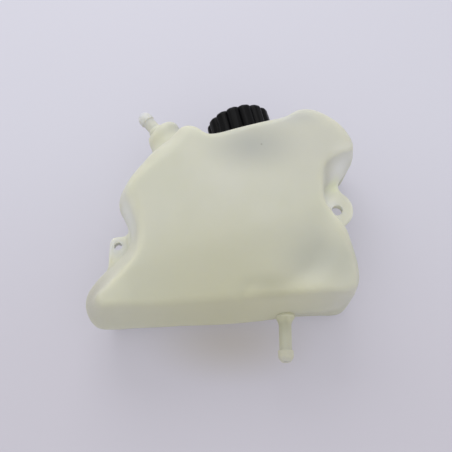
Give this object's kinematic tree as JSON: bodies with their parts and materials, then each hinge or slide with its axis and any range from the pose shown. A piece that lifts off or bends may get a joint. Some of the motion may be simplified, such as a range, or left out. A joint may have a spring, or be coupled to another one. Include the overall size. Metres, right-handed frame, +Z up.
{
  "type": "coolant expansion tank",
  "caption": "Blow-moulded translucent coolant expansion tank with a leaning filler neck, a black pressure cap, barbed hose spigots and flat mounting lugs.",
  "frame": {"origin": "centre of the hole in the right mounting lug, in the tank's parting plane", "axes": "+X to the right seen from the front face, +Y from the front face to the back face along the lugs' holes, +Z up"},
  "size_m": [0.2464, 0.092, 0.2452],
  "materials": {
    "tank_plastic": "translucent satin",
    "cap_plastic": "satin",
    "barrel_plastic": "satin",
    "plunger_plastic": "satin",
    "seal_rubber": "matte",
    "spring_steel": "satin",
    "poppet_brass": "satin"
  },
  "bodies": {
    "tank": {"tank_body": "tank_plastic"},
    "barrel": {"valve_barrel": "barrel_plastic", "neck_o_ring": "seal_rubber", "spring_cover": "barrel_plastic", "relief_spring": "spring_steel"},
    "cap": {"cap_shell": "cap_plastic"},
    "plunger": {"relief_plunger": "plunger_plastic", "plunger_seal": "seal_rubber", "vacuum_spring": "spring_steel"},
    "poppet": {"vacuum_poppet": "poppet_brass", "vacuum_clip": "spring_steel"}
  },
  "joints": [
    {"name": "cap_lift", "type": "slide", "parent": "tank", "child": "barrel", "axis": [-0.2419, 0, 0.9703], "range_m": [0, 0.032]},
    {"name": "cap_turn", "type": "hinge", "parent": "barrel", "child": "cap", "pos_m": [-0.085, 0, 0.0695], "axis": [-0.2419, 0, 0.9703], "range_deg": [0, 1440]},
    {"name": "relief_lift", "type": "slide", "parent": "barrel", "child": "plunger", "axis": [-0.2419, 0, 0.9703], "range_m": [0, 0.0025], "stiffness_N_per_m": 4000, "springref_m": -0.008, "deforming": ["relief_spring"]},
    {"name": "vacuum_open", "type": "slide", "parent": "plunger", "child": "poppet", "axis": [0.2419, 0, -0.9703], "range_m": [0, 0.0015], "stiffness_N_per_m": 80, "springref_m": -0.003, "deforming": ["vacuum_spring"]}
  ],
  "couplings": [
    {"joint": "cap_lift", "follows": "cap_turn", "m_per_rad": 0.0012732}
  ]
}
